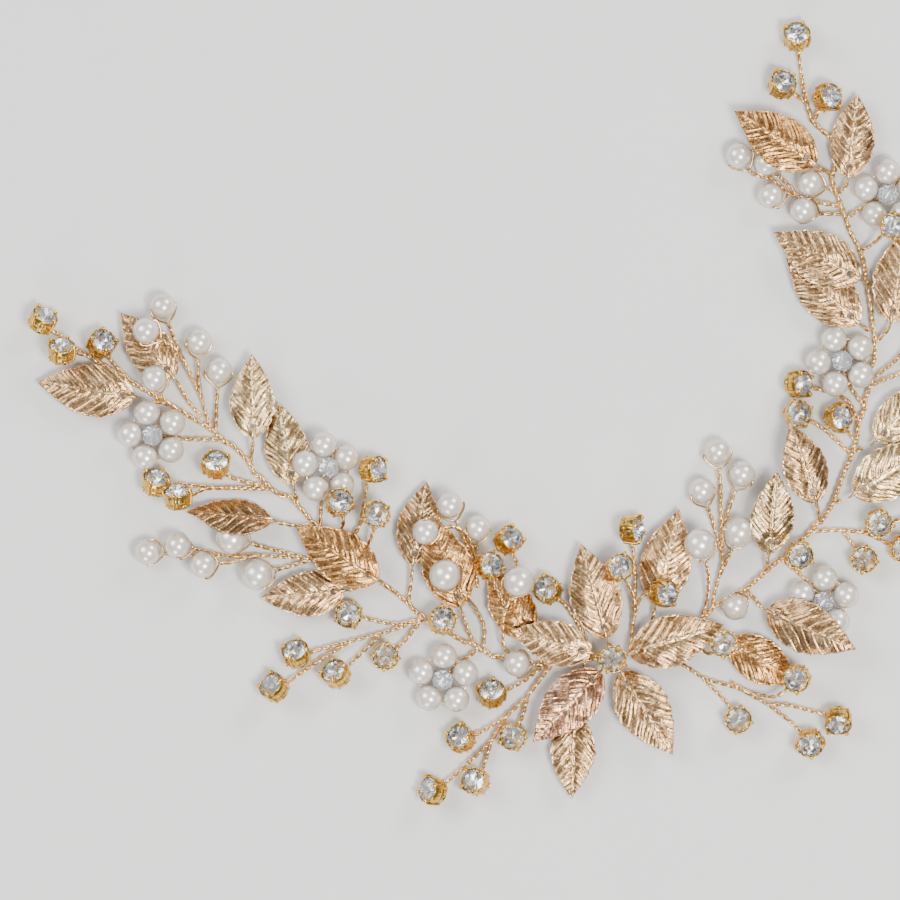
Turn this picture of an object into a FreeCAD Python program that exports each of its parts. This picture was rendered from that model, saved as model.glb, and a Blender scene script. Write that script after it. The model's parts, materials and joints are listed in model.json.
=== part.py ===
import FreeCAD, Part
import math
import os
from collections import namedtuple
from FreeCAD import Placement, Rotation, Vector

# Bridal hair vine: two wings of twisted wire that meet at a five-leaf flower.
# Stamped leaves, drilled pearls, pearl flowers and claw-set stones hang on wire twigs.
# Millimetres.  +Z up, table at z = 0, origin under the centre stone, +X to the right wing,
# +Y towards the open side between the wings.

# ---- driving dimensions ---------------------------------------------------------------

STEM_RADIUS = 0.55          # envelope of the two-strand stem
TWIG_RADIUS = 0.45          # envelope of the two-strand twig that carries one item
STRAND_RADIUS = 0.22        # one strand, as it passes through a pearl or a leaf
WIRE_Z = 1.0                # axis height of wires that lie on the table
MOST_BEND = 6.0             # largest bend radius of a wire

LEAF_LENGTHS = {"large": 18.5, "small": 16.0}
LEAF_THICKNESS = 0.4
LEAF_ARCH = 45.0            # radius of the bow from base to tip
LEAF_TAIL = 2.0             # base edge to the middle of the hole
LEAF_HOLE_RADIUS = 0.6
LOOP_RISE = 0.72            # wire loop's distance from the leaf's middle surface
LOOP_BACK = 0.5             # loop's clearance behind the leaf's base edge
TWIST_BACK = 1.3            # end of the twig behind the leaf's base edge

PEARL_BORE = 0.4
FLOWER_RING = 4.45          # centres of the five pearls from the flower's axis
FLOWER_RING_BORE = 0.32
CRYSTAL_RADIUS = 2.0
CRYSTAL_RISE = 0.9
LOOP_CLEAR = 0.06           # between a hugging strand and its pearl
TWIST_CLEAR = 0.9           # end of the twig from the pearl's surface
BORE_TILT = 24.0            # bores lie level or tip this far either way

CUP_BASE = 2.3
CUP_RADIUS = 2.75
CUP_FLOOR = 1.5
CUP_RIM = 3.3
CUP_MIDDLE = 1.9
SEAT_RADIUS = 2.4
SEAT_FLOOR = 0.9
CHANNEL_RADIUS = 0.5
CHANNEL_Z = 0.75
CLAW_RADIUS = 0.32
CLAW_COUNT = 4
CLAW_START = 0.9            # height of a claw's foot over the cup's back
STONE_RADIUS = 2.3
STONE_GIRDLE = (3.0, 3.2)   # heights over the cup's back
STONE_TABLE = 1.35
STONE_TOP = 3.95
STONE_POINT = 1.6

CENTRE_LIFT = 5.4           # back of the centre setting over the table

# ---- layout: where each item sits and how its twig runs -------------------------------
# A route runs from the stem to the item.  A point with two numbers lies at WIRE_Z.

Leaf = namedtuple("Leaf", "body hole heading pitch roll size route")
Cup = namedtuple("Cup", "body at lift tilt heading route")
Pearl = namedtuple("Pearl", "body at radius route")
Flower = namedtuple("Flower", "body at phase tilt heading route")

STEMS = {
    "centre": [(-19.6, 8.1), (-14.2, 4.2), (-9, 3), (0, 0), (9, -0.6), (15, -0.2), (19.8, 1.2)],
    "left_wing": [(-20.6, 8.8), (-22.7, 10.3), (-26.3, 14.7), (-31.1, 20.3), (-32.4, 24.5),
                  (-36.5, 30.6), (-41.5, 40.5), (-45.3, 48), (-49.3, 54.2), (-51, 60.2),
                  (-55.7, 69), (-61.6, 76.5), (-68.5, 85.5), (-74, 92.5), (-76.8, 97)],
    "right_wing": [(20.8, 1.8), (22.9, 2.6), (28.3, 3), (34.7, 5.4), (43.1, 8.4), (50, 12.2),
                   (53.3, 16.1), (57, 19.8), (60.1, 24.9), (65.1, 30.1), (68.3, 36.6),
                   (71, 46), (72.6, 54.5), (72, 64.4), (72.6, 76), (73.2, 86.5), (75, 94.5)],
}

Petal = namedtuple("Petal", "heading ring height pitch size")
PETALS = [
    Petal(84, 6.2, 2.9, 10, "large"),
    Petal(143, 6.2, 4.7, 7, "small"),
    Petal(205, 5.4, 3.6, 10, "large"),
    Petal(281, 5.2, 3.0, 10, "large"),
    Petal(356, 5.6, 3.2, 10, "large"),
]

LEAVES = [
    Leaf("centre", (-13.6, 11.2, 2.3), 98, 4, 0, "small", [(-12.5, 3.5), (-13, 6)]),
    Leaf("centre", (-11.5, -9.2, 2.3), 247, 6, 0, "small", [(-5, 1.6), (-6.4, -1.2), (-8.6, -3.6)]),
    Leaf("centre", (12.8, 8.4, 2.3), 55, 8, 0, "large", [(7, 0), (9.3, 3.2)]),
    Leaf("centre", (23.2, -6.5, 2.2), 307, 4, 0, "small", [(16.5, 0.2), (20.2, -2.6)]),
    Leaf("left_wing", (-68.8, 80.8, 2.8), 150, 6, 0, "large", [(-61.6, 76.2)]),
    Leaf("left_wing", (-59.2, 82.4, 2.3), 108, 5, 0, "small", [(-56.4, 71.6), (-57.6, 75)]),
    Leaf("left_wing", (-47.9, 66.2, 3.6), 69, 6, 0, "small", [(-51, 59.5), (-50, 61.5)]),
    Leaf("left_wing", (-44.3, 55.2, 2.3), 79, 4, 0, "small", [(-45.3, 48.2), (-45.1, 50)]),
    Leaf("left_wing", (-53, 49.3, 3.2), 149, 8, 40, "small", [(-43.8, 44.6), (-47, 45.5)]),
    Leaf("left_wing", (-37.6, 32, 3.7), 125, 8, 0, "large", [(-34.2, 27)]),
    Leaf("left_wing", (-45, 31.3, 2.3), 164, 5, 0, "small", [(-36.7, 31), (-39.5, 30.4)]),
    Leaf("left_wing", (-27.9, 32.4, 2.3), 59, 4, 0, "small", [(-32.3, 24.3), (-30.6, 27.5)]),
    Leaf("left_wing", (-23.3, 21.8, 3.6), 87, 12, 0, "large", [(-22.9, 10.6), (-23.8, 14.5)]),
    Leaf("right_wing", (36.1, 9.8, 3.9), 62, 16, 14, "small", [(33.6, 5)]),
    Leaf("right_wing", (47.2, 15.8, 4.9), 86, 13, 8, "small", [(46.5, 10.2)]),
    Leaf("right_wing", (56.4, 12.9, 2.8), 11, 8, 6, "large", [(50.2, 12.3)]),
    Leaf("right_wing", (64, 21.4, 2.4), 22, 6, 0, "small", [(57.2, 20)]),
    Leaf("right_wing", (32.4, -3.6, 4.2), 313, 22, 12, "large", [(28.6, 3)]),
    Leaf("right_wing", (68.9, 52, 4.1), 130, 8, 0, "large", [(71.7, 48)]),
    Leaf("right_wing", (66.2, 44.5, 2.3), 117, 8, 0, "large", [(69.3, 39.5)]),
    Leaf("right_wing", (74, 42.4, 2.3), 58, 6, 0, "large", [(69, 38)]),
    Leaf("right_wing", (69.2, 75.5, 4.2), 124, 12, 10, "large", [(72.4, 71)]),
    Leaf("right_wing", (76.3, 71.1, 2.4), 62, 6, 0, "small", [(72.2, 66.5)]),
    Leaf("right_wing", (65, 4.3, 2.4), 353, 5, 0, "large", [(53.9, 5), (58.5, 5.1)]),
]

CUPS = [
    Cup("centre", (-10.2, 28.3), 0, 42, 20, [(-15.2, 15.3, 4.4), (-12.4, 19, 4.3), (-10, 23, 2.2)]),
    Cup("centre", (-15.4, 25.2), 3.6, 30, 0, [(-15.2, 15.3, 4.4), (-15.6, 20, 4.4)]),
    Cup("centre", (-23.9, 2.1), 0, 40, 75, [(-13.2, 3.4), (-17, 2.2), (-20.5, 1.8)]),
    Cup("centre", (-23, -6.9), 0, 12, 200, [(-17.6, -0.8), (-19.6, -3.6)]),
    Cup("centre", (-32.4, -3.6), 0, 36, 125, [(-11, 3.2), (-13.5, 1.8), (-18, -1), (-23.3, -3),
                                              (-28.5, -4)]),
    Cup("centre", (-32.8, -12.4), 0, 28, 130, [(-27.2, -6.2), (-29.6, -9.4)]),
    Cup("centre", (-41, -11), 0, 54, 145, [(-22.6, -2.8), (-27.6, -6.5), (-37, -10.1)]),
    Cup("centre", (7.7, 15.8), 4.4, 14, 10, [(3.5, -0.2), (6.8, 6), (8.2, 10, 3)]),
    Cup("centre", (13.7, 8.1), 4.4, 40, 335, [(6.9, 6), (9, 9, 3), (11, 9.6, 4.6)]),
    Cup("centre", (21, -4.9), 4.2, 10, 200, [(14, -0.4), (17, -5.5, 1.2), (18.2, -6, 3.4)]),
    Cup("centre", (12.3, 21.7), 0, 66, 340, [(6.9, 6.1), (9.7, 12.7), (11.3, 17.6)]),
    Cup("centre", (-6.7, 16.7), 0, 30, 120, [(-3, 1), (-3.4, 7), (-4.4, 12.5)]),
    Cup("centre", (31.3, -16.2), 3.4, 20, 205, [(19.6, -12.5), (22, -15.5, 1.2), (26, -18.2, 3),
                                              (28.8, -17.6, 4)]),
    Cup("centre", (18.2, -19.6), 0, 0, 280, [(14.9, -9.9), (17.2, -15.2)]),
    Cup("centre", (29.4, -28.5), 0, 30, 245, [(4, -0.6), (12, -5.6), (14.9, -9.8), (20.5, -14),
                                              (24.5, -18.8), (27.4, -23.6)]),
    Cup("centre", (35.9, -26.6), 0, 44, 250, [(24.5, -18.8), (28.5, -20.6), (32.6, -23.6)]),
    Cup("left_wing", (-77.9, 99.6), 0, 60, 40, [(-73.5, 92), (-76, 96)]),
    Cup("left_wing", (-76.5, 93), 1.5, 56, 65, [(-71.4, 89.2), (-73.6, 91.4, 1.6)]),
    Cup("left_wing", (-69, 91.4), 0, 38, 35, [(-66.6, 83.1), (-68.3, 87.2)]),
    Cup("left_wing", (-69, 62.9), 0, 52, 60, [(-49.5, 54.4), (-58, 57.6), (-64.8, 61)]),
    Cup("left_wing", (-66, 58.9), 3.6, 62, 75, [(-49.3, 54), (-56, 56.8), (-60.5, 58.6, 2.6)]),
    Cup("left_wing", (-57.1, 61.9), 0, 40, 70, [(-50, 54.9), (-54.6, 58)]),
    Cup("left_wing", (-37.6, 46.7), 5.4, 22, 30, [(-41.6, 40.9), (-38.8, 42), (-38.1, 43.8, 3.4)]),
    Cup("left_wing", (-29.4, 50.3), 0, 54, 340, [(-40.3, 38), (-35.8, 41), (-32.4, 46.6)]),
    Cup("left_wing", (-31.9, 42), 3.4, 10, 100, [(-38.6, 34.8), (-35.6, 37, 1.6), (-33.8, 39, 3.2)]),
    Cup("left_wing", (-27.6, 18.6), 1.6, 22, 40, [(-25.6, 13.9), (-26.6, 15.6, 1.4)]),
    Cup("left_wing", (-43.7, 26.2), 0, 10, 200, [(-31.1, 20.4), (-35.7, 20.8), (-40.2, 23.6)]),
    Cup("left_wing", (-55.9, 22.8), 0, 45, 85, [(-30.9, 20.1), (-38.7, 20.4), (-46.2, 21.4), (-52, 22)]),
    Cup("left_wing", (-62, 18.2), 0.1, 48, 120, [(-45.8, 21.2), (-52, 20), (-58, 18.7)]),
    Cup("left_wing", (-50.2, 16.5), 0, 44, 105, [(-39.6, 20.2), (-42.6, 19.1), (-46.6, 17.4)]),
    Cup("left_wing", (-40.2, 16.1), 0, 0, 230, [(-31.4, 20), (-36, 17.4)]),
    Cup("right_wing", (49.9, 30.7), 0, 20, 0, [(56.8, 19.6), (54, 25.6), (52.4, 28)]),
    Cup("right_wing", (57.1, 27.2), 0, 40, 340, [(58.4, 22.1), (57.6, 24.2)]),
    Cup("right_wing", (40.3, 5.6), 1.6, 18, 300, [(36.6, 6.1), (38, 6.2, 1.6)]),
    Cup("right_wing", (56.8, 5.8), 1.5, 14, 280, [(52.5, 5.4), (54.6, 5.6, 1.6)]),
    Cup("right_wing", (51.7, 0.2), 0, 0, 280, [(49.8, 7), (50.8, 3.6)]),
    Cup("right_wing", (59.4, -0.6), 0, 20, 320, [(44, 8.9), (49.4, 7.2), (53.9, 5), (57.2, 1.2)]),
    Cup("right_wing", (52.2, 36), 0, 48, 340, [(60.3, 25.4), (60.2, 29.6), (56.4, 33)]),
    Cup("right_wing", (79.8, 57.5), 5.4, 8, 330, [(72.7, 55.4), (75.4, 55.8, 2.4), (77, 56.6, 4.8)]),
    Cup("right_wing", (75.9, 97.9), 0, 36, 65, [(74.2, 91), (75.2, 94.6)]),
    Cup("right_wing", (69.9, 90.3), 0, 36, 40, [(73.1, 85.5), (71.6, 88)]),
    Cup("right_wing", (77.2, 84.9), 0, 42, 355, [(72.9, 81.5), (75, 83.4)]),
    Cup("right_wing", (77.4, 30.4), 0, 16, 350, [(65.4, 30.7), (70.5, 30.8), (74, 30.7)]),
]

PEARLS = [
    Pearl("centre", (-11.3, 20.3, 7.9), 3, [(-17.2, 6.6), (-18.7, 9.6, 1.5), (-17, 14.4, 4.4),
                                            (-15, 17, 5.4)]),
    Pearl("centre", (-17.3, 5.8, 4), 2.5, [(-13, 3.5), (-12.4, 3.3, 1.5)]),
    Pearl("centre", (23.5, 14.4, 6.4), 3, [(18.6, 0.8), (21, 3.6), (23, 8.4, 3.6)]),
    Pearl("left_wing", (-55.6, 93.9, 2.5), 2.5, [(-55.6, 68.9), (-55, 75), (-55.5, 81.3), (-55.8, 87)]),
    Pearl("left_wing", (-60.2, 90.6, 6.2), 2.5, [(-55.4, 78.3), (-55.5, 82.2, 1.4), (-56.4, 85.8, 4.6)]),
    Pearl("left_wing", (-62, 81.6, 5.9), 2.5, [(-58.8, 73.2), (-60.2, 74.6, 1.6), (-61.8, 77, 3.6)]),
    Pearl("left_wing", (-51.6, 85.1, 2.5), 2.5, [(-55, 75.3), (-54, 79.4)]),
    Pearl("left_wing", (-50, 78.6, 2.5), 2.5, [(-54.8, 68), (-52.4, 73.6)]),
    Pearl("left_wing", (-75.3, 51.2, 2.5), 2.5, [(-38.9, 35.5), (-48.5, 39.6), (-55.8, 43),
                                                 (-61.2, 44.8), (-70.6, 49)]),
    Pearl("left_wing", (-69.5, 50.3, 4.2), 2.5, [(-61.2, 44.8), (-65.4, 47.6, 1.8)]),
    Pearl("left_wing", (-66.3, 45.1, 4.2), 2.5, [(-56.5, 43.2), (-61.5, 43.6, 1.6)]),
    Pearl("left_wing", (-59.4, 47.8, 3), 3, [(-47.5, 39.2), (-54, 43.8)]),
    Pearl("left_wing", (-57.4, 39.6, 3), 3, [(-45.8, 38.4), (-51.8, 38.9)]),
    Pearl("left_wing", (-18.3, 38.6, 5.6), 2.5, [(-19, 22), (-17.9, 28.5, 1.8), (-18.2, 33.6, 3.4)]),
    Pearl("left_wing", (-24.4, 35.6, 7.9), 2.5, [(-19, 22), (-17.4, 28, 1.6), (-17.1, 32.4, 4.6),
                                                 (-19.2, 34.7, 6.4)]),
    Pearl("left_wing", (-14.9, 32.6, 2.5), 2.5, [(-18.2, 25.8), (-17, 28.2)]),
    Pearl("left_wing", (-23.9, 26.6, 8.7), 3, [(-22.4, 10.4), (-20.4, 14.4),
        (-20.8, 18.4, 1.5), (-21.6, 20.6, 5.6)]),
    Pearl("right_wing", (25.4, 0.7, 4), 2.5, [(28.6, 3.1), (28.8, 1.6, 2.2)]),
    Pearl("right_wing", (27.6, 23.7, 2.5), 2.5, [(26.9, 11.4), (27.4, 17.5)]),
    Pearl("right_wing", (33.1, 29.6, 2.5), 2.5, [(21.4, 2), (22.6, 4.4), (26.4, 9.4), (28, 14.2),
                                                 (31.4, 23.6)]),
    Pearl("right_wing", (35.9, 23.9, 2.5), 2.5, [(27.8, 13.8), (31.6, 19.2)]),
    Pearl("right_wing", (31.4, 13.8, 3), 3, [(24.6, 7), (27.4, 9.8)]),
    Pearl("right_wing", (57.4, 80.8, 2.5), 2.5, [(63.9, 70.6), (61.7, 74.5, 0.8), (58.6, 76.4)]),
    Pearl("right_wing", (61.9, 77.5, 2.5), 2.5, [(65.2, 69.3), (64.4, 72), (63.6, 73.4)]),
    Pearl("right_wing", (60.2, 71.4, 2.5), 2.5, [(72.1, 64.6), (66.2, 68.4), (64.2, 70.4)]),
    Pearl("right_wing", (68.1, 70.9, 2.5), 2.5, [(72.2, 67), (71.6, 68.4)]),
    Pearl("right_wing", (65, 66.6, 2.5), 2.5, [(72, 63.2), (68.2, 64.6)]),
    Pearl("right_wing", (78.4, 37, 2.5), 2.5, [(66, 31.9), (70.6, 33.2), (74.6, 35.2)]),
    Pearl("right_wing", (83.6, 34.6, 2.5), 2.5, [(72, 33.4), (79.6, 33.2)]),
]

FLOWERS = [
    Flower("left_wing", (-66.2, 71.6, 3), 12, 6, 0, [(-53.6, 65.8), (-60.6, 68.6)]),
    Flower("left_wing", (-37.6, 53.8, 4.6), 4, 22, 160, [(-42.9, 43.4), (-41.6, 46.6), (-40.2, 49.6)]),
    Flower("left_wing", (-31.5, 8, 3), -5, 6, 0, [(-23.2, 11), (-27.4, 9.8)]),
    Flower("right_wing", (41.6, -4.5, 3), -5, 6, 0, [(37, 6.3), (40.2, 0)]),
    Flower("right_wing", (61.4, 37, 3), 16, 6, 180, [(62.4, 27.3), (61.2, 31.8)]),
    Flower("right_wing", (81.2, 63.4, 3), -2, 6, 0, [(72.2, 62.2), (77, 63.2)]),
]


# ---- wires ----------------------------------------------------------------------------

def point(values):
    """A route point: its own height, or WIRE_Z where only x and y are given."""
    x, y = values[0], values[1]
    z = values[2] if len(values) > 2 else WIRE_Z
    return Vector(x, y, z)


def rounded_path(points):
    """Straight runs joined by tangent arcs, as one wire."""
    edges = []
    start = points[0]
    for before, corner, after in zip(points, points[1:], points[2:]):
        into = corner - before
        out = after - corner
        half_turn = into.getAngle(out) / 2
        if half_turn < math.radians(0.5):
            continue
        reach = 0.45 * min(into.Length, out.Length)
        reach = min(reach, MOST_BEND * math.tan(half_turn))
        radius = reach / math.tan(half_turn)
        into.normalize()
        out.normalize()
        first = corner - into * reach
        last = corner + out * reach
        inward = out - into
        inward.normalize()
        middle = corner + inward * (radius / math.cos(half_turn) - radius)
        edges.append(Part.LineSegment(start, first).toShape())
        edges.append(Part.Arc(first, middle, last).toShape())
        start = last
    edges.append(Part.LineSegment(start, points[-1]).toShape())
    return Part.Wire(edges)


def tube(points, radius):
    """A round wire along the rounded path through the points."""
    path = rounded_path(points)
    heading = points[1] - points[0]
    section = Part.Wire([Part.makeCircle(radius, points[0], heading)])
    return path.makePipeShell([section], True, True)


def twig(route, end):
    """The two-strand twist from the stem to one item."""
    return tube([point(values) for values in route] + [end], TWIG_RADIUS)


def bead_loop(centre, radius, down, along):
    """One strand that hugs a bead on both sides and passes through its bore."""
    around = (radius + STRAND_RADIUS + LOOP_CLEAR) / math.cos(math.radians(15)) + LOOP_CLEAR
    foot = centre + down * (radius + TWIST_CLEAR)
    half = [foot + along * STRAND_RADIUS]
    for angle in (30, 60, 90):
        turn = math.radians(angle)
        half.append(centre + down * (around * math.cos(turn)) + along * (around * math.sin(turn)))
    mirrored = [place - along * (2 * (place - centre).dot(along)) for place in half]
    return tube(half + mirrored[::-1], STRAND_RADIUS)


# ---- single items, each in its own frame ------------------------------------------------

def leaf_outline(length):
    """Scalloped outline: five arcs a side from the base edge to the pointed tip."""
    end = length - LEAF_TAIL
    side = [(-LEAF_TAIL, 0.9), (0.09 * length, 0.2 * length), (0.30 * length, 0.285 * length),
            (0.52 * length, 0.255 * length), (0.70 * length, 0.165 * length), (end, 0)]
    edges = []
    for sign in (1, -1):
        for (x1, y1), (x2, y2) in zip(side, side[1:]):
            swell = 0.09 * math.hypot(x2 - x1, y2 - y1)
            lean = math.atan2(y2 - y1, x2 - x1) + math.pi / 2
            middle = Vector((x1 + x2) / 2 + swell * math.cos(lean),
                            sign * ((y1 + y2) / 2 + swell * math.sin(lean)), 0)
            ends = [Vector(x1, sign * y1, 0), Vector(x2, sign * y2, 0)]
            edges.append(Part.Arc(ends[0], middle, ends[1]).toShape())
    tail = Part.LineSegment(Vector(-LEAF_TAIL, -0.9, 0), Vector(-LEAF_TAIL, 0.9, 0)).toShape()
    return Part.Wire(Part.__sortEdges__(edges + [tail]))


def leaf(size):
    """Stamped leaf: x from the hole to the tip, bowed down along its length."""
    length = LEAF_LENGTHS[size]
    prism = Part.Face(leaf_outline(length)).extrude(Vector(0, 0, 12))
    prism.translate(Vector(0, 0, -8))
    corner = Vector(0, -length / 2, -LEAF_ARCH)
    outside = Part.makeCylinder(LEAF_ARCH + LEAF_THICKNESS / 2, length, corner, Vector(0, 1, 0))
    inside = Part.makeCylinder(LEAF_ARCH - LEAF_THICKNESS / 2, length, corner, Vector(0, 1, 0))
    plate = prism.common(outside.cut(inside))
    hole = Part.makeCylinder(LEAF_HOLE_RADIUS, 4, Vector(0, 0, -2))
    return plate.cut(hole).Solids[0]


def leaf_loop():
    """The strand through the leaf's hole and round its base edge, in the leaf's frame."""
    back = -LEAF_TAIL - LOOP_BACK
    end = -LEAF_TAIL - TWIST_BACK
    corners = [(end, -0.1), (back, LOOP_RISE), (0, LOOP_RISE), (0, -LOOP_RISE), (back, -LOOP_RISE),
               (end, -0.3)]
    return tube([Vector(x, 0, z) for x, z in corners], STRAND_RADIUS)


def revolved(profile):
    """Solid of revolution about Z from its half profile."""
    corners = [Vector(r, 0, z) for r, z in profile]
    face = Part.Face(Part.makePolygon(corners + [corners[0]]))
    return face.revolve(Vector(0, 0, 0), Vector(0, 0, 1), 360)


def cup():
    """Claw setting: flared cup with a conical seat, two crossing wire channels and four claws."""
    body = revolved([(0, 0), (CUP_BASE, 0), (CUP_RADIUS, CUP_RIM - 0.9), (CUP_RADIUS, CUP_RIM),
                     (SEAT_RADIUS, CUP_RIM), (SEAT_RADIUS, CUP_RIM - 0.4), (SEAT_FLOOR, CUP_FLOOR),
                     (0, CUP_FLOOR)])
    for turn in range(CLAW_COUNT):
        claw = tube([Vector(CUP_RADIUS - 0.05, 0, CLAW_START), Vector(CUP_RADIUS + 0.05, 0, CUP_RIM),
                     Vector(STONE_RADIUS - 0.05, 0, STONE_TOP - 0.1)], CLAW_RADIUS)
        claw.rotate(Vector(0, 0, 0), Vector(0, 0, 1), 45 + turn * 360 / CLAW_COUNT)
        body = body.fuse(claw)
    for direction in (Vector(1, 0, 0), Vector(0, 1, 0)):
        start = Vector(0, 0, CHANNEL_Z) - direction * 5
        body = body.cut(Part.makeCylinder(CHANNEL_RADIUS, 10, start, direction))
    return body.Solids[0]


def stone():
    """Round brilliant: table, crown, girdle and pointed pavilion."""
    low, high = STONE_GIRDLE
    return revolved([(0, STONE_POINT), (STONE_RADIUS, low), (STONE_RADIUS, high),
                     (STONE_TABLE, STONE_TOP), (0, STONE_TOP)])


def pearl(centre, radius, along):
    """Round pearl drilled through its middle, turned about the bore."""
    half = math.sqrt(radius ** 2 - PEARL_BORE ** 2)
    low = Vector(PEARL_BORE, 0, -half)
    high = Vector(PEARL_BORE, 0, half)
    skin = Part.Arc(low, Vector(radius, 0, 0), high).toShape()
    section = Part.Face(Part.Wire([Part.LineSegment(high, low).toShape(), skin]))
    ball = section.revolve(Vector(0, 0, 0), Vector(0, 0, 1), 360)
    return put(ball, Placement(centre, Rotation(Vector(0, 0, 1), along)))


def crystal():
    """Faceted bead, drilled along its axis Z."""
    profile = [(PEARL_BORE, -1.8), (1.0, -1.8), (1.75, -1.0), (CRYSTAL_RADIUS, 0), (1.75, 1.0),
               (1.0, 1.8), (PEARL_BORE, 1.8)]
    return revolved(profile)


# ---- placing ----------------------------------------------------------------------------

def frame_of(spec):
    """Placement of a leaf: +x to the tip, +y to its left, +z its upper face."""
    turn = Rotation(spec.heading, -spec.pitch, spec.roll)
    return Placement(Vector(*spec.hole), turn)


def petal_specs():
    """The five leaves of the centre flower, spread round the centre stone."""
    specs = []
    for petal in PETALS:
        turn = math.radians(petal.heading)
        hole = (petal.ring * math.cos(turn), petal.ring * math.sin(turn), petal.height)
        inner = (0.6 * math.cos(turn), 0.6 * math.sin(turn), 1.2)
        specs.append(Leaf("centre", hole, petal.heading, petal.pitch, 0, petal.size, [inner]))
    return specs


def leaf_names(specs):
    """A name for every leaf: petals of the centre flower first, then leaves by body."""
    names = []
    counts = {}
    for spec in specs:
        kind = SIDES[spec.body] + ("_petal" if spec in PETAL_SPECS else "_leaf")
        counts[kind] = counts.get(kind, 0) + 1
        names.append("%s_%d" % (kind, counts[kind]))
    return names


def cup_frame(spec):
    """Placement of a cup by its middle, with one wire channel facing its twig."""
    turn = math.radians(spec.heading)
    lean = Vector(math.cos(turn), math.sin(turn), 0)
    tilt = math.radians(spec.tilt)
    claw_drop = (CUP_RADIUS + CLAW_RADIUS) * math.sin(tilt) - CLAW_START * math.cos(tilt)
    drop = max(CUP_BASE * math.sin(tilt), claw_drop)
    base = Vector(spec.at[0], spec.at[1], spec.lift + drop)
    base = base - lean * (CUP_MIDDLE * math.sin(tilt))
    across = Vector(-lean.y, lean.x, 0)
    toward = point(spec.route[-1]) - base
    face_wire = Rotation(Vector(0, 0, 1), math.degrees(math.atan2(toward.y, toward.x)))
    return Placement(base, Rotation(across, spec.tilt) * face_wire)


def put(shape, placement):
    """A copy of the shape, moved by the placement."""
    return shape.transformed(placement.toMatrix(), True)


SIDES = {"centre": "centre", "left_wing": "left", "right_wing": "right"}
PETAL_SPECS = petal_specs()
ALL_LEAVES = PETAL_SPECS + LEAVES
NAMES = leaf_names(ALL_LEAVES)


def add(nodes, name, solid):
    """Adds one solid to a node."""
    nodes.setdefault(name, []).append(solid)


def build():
    """Every node of the hair vine: name to its list of solids."""
    nodes = {}
    leaf_shapes = {size: leaf(size) for size in LEAF_LENGTHS}
    loop_shape = leaf_loop()
    cup_shape = cup()
    stone_shape = stone()

    for body, route in STEMS.items():
        stem = tube([point(values) for values in route], STEM_RADIUS)
        add(nodes, SIDES[body] + "_stem_wire", stem)

    for name, spec in zip(NAMES, ALL_LEAVES):
        placement = frame_of(spec)
        end = placement.multVec(Vector(-LEAF_TAIL - TWIST_BACK + 0.1, 0, -0.2))
        add(nodes, name, put(leaf_shapes[spec.size], placement))
        add(nodes, SIDES[spec.body] + "_twigs", put(loop_shape, placement))
        add(nodes, SIDES[spec.body] + "_twigs", twig(spec.route, end))

    centre_frame = Placement(Vector(0, 0, CENTRE_LIFT), Rotation())
    add(nodes, "centre_setting", put(cup_shape, centre_frame))
    add(nodes, "centre_stone", put(stone_shape, centre_frame))
    post = tube([Vector(0, 0, WIRE_Z), Vector(0, 0, CENTRE_LIFT + CHANNEL_Z)], TWIG_RADIUS)
    add(nodes, "centre_twigs", post)

    for spec in CUPS:
        placement = cup_frame(spec)
        side = SIDES[spec.body]
        add(nodes, side + "_cups", put(cup_shape, placement))
        add(nodes, side + "_cup_stones", put(stone_shape, placement))
        add(nodes, side + "_twigs", twig(spec.route, placement.multVec(Vector(0, 0, CHANNEL_Z))))

    for number, spec in enumerate(PEARLS):
        side = SIDES[spec.body]
        centre = Vector(*spec.at)
        down = point(spec.route[-1]) - centre
        down.normalize()
        along = Vector(0, 0, 1).cross(down)
        along.normalize()
        along = Rotation(down, (number % 3 - 1) * BORE_TILT).multVec(along)
        add(nodes, side + "_pearls", pearl(centre, spec.radius, along))
        add(nodes, side + "_twigs", bead_loop(centre, spec.radius, down, along))
        add(nodes, side + "_twigs", twig(spec.route, centre + down * (spec.radius + TWIST_CLEAR)))

    for number, spec in enumerate(FLOWERS):
        side = SIDES[spec.body]
        label = "%s_flower_%d" % (side, number % 3 + 1)
        turn = math.radians(spec.heading)
        across = Vector(-math.sin(turn), math.cos(turn), 0)
        tip = Placement(Vector(*spec.at), Rotation(across, -spec.tilt))
        ring_bore = put(Part.makeTorus(FLOWER_RING, FLOWER_RING_BORE), tip)
        for step in range(5):
            angle = math.radians(spec.phase + 72 * step)
            place = Vector(FLOWER_RING * math.cos(angle), FLOWER_RING * math.sin(angle), 0)
            ball = Part.makeSphere(2.5, tip.multVec(place))
            add(nodes, label + "_pearls", ball.cut(ring_bore))
        gap = math.radians(spec.phase + 36)
        along = tip.Rotation.multVec(Vector(math.cos(gap), math.sin(gap), 0))
        bead = tip.multVec(Vector(0, 0, CRYSTAL_RISE))
        facing = Placement(bead, Rotation(Vector(0, 0, 1), along))
        add(nodes, label + "_crystal", put(crystal(), facing))
        down = tip.Rotation.multVec(Vector(0, 0, -1))
        foot = bead + down * (CRYSTAL_RADIUS + TWIST_CLEAR)
        add(nodes, side + "_twigs", put(Part.makeTorus(FLOWER_RING, STRAND_RADIUS), tip))
        add(nodes, side + "_twigs", bead_loop(bead, CRYSTAL_RADIUS, down, along))
        spoke = tip.multVec(Vector(FLOWER_RING * math.cos(gap), FLOWER_RING * math.sin(gap), 0))
        add(nodes, side + "_twigs", tube([foot, spoke], STRAND_RADIUS))
        add(nodes, side + "_twigs", twig(spec.route, foot))
    return nodes


def main():
    """Writes one STEP file per node."""
    os.makedirs("parts", exist_ok=True)
    for name, solids in build().items():
        shape = solids[0] if len(solids) == 1 else Part.makeCompound(solids)
        shape.exportStep("parts/%s.step" % name)
        print("%-26s %2d solids  %8.1f mm3" % (name, len(shape.Solids), shape.Volume))


main()
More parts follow.
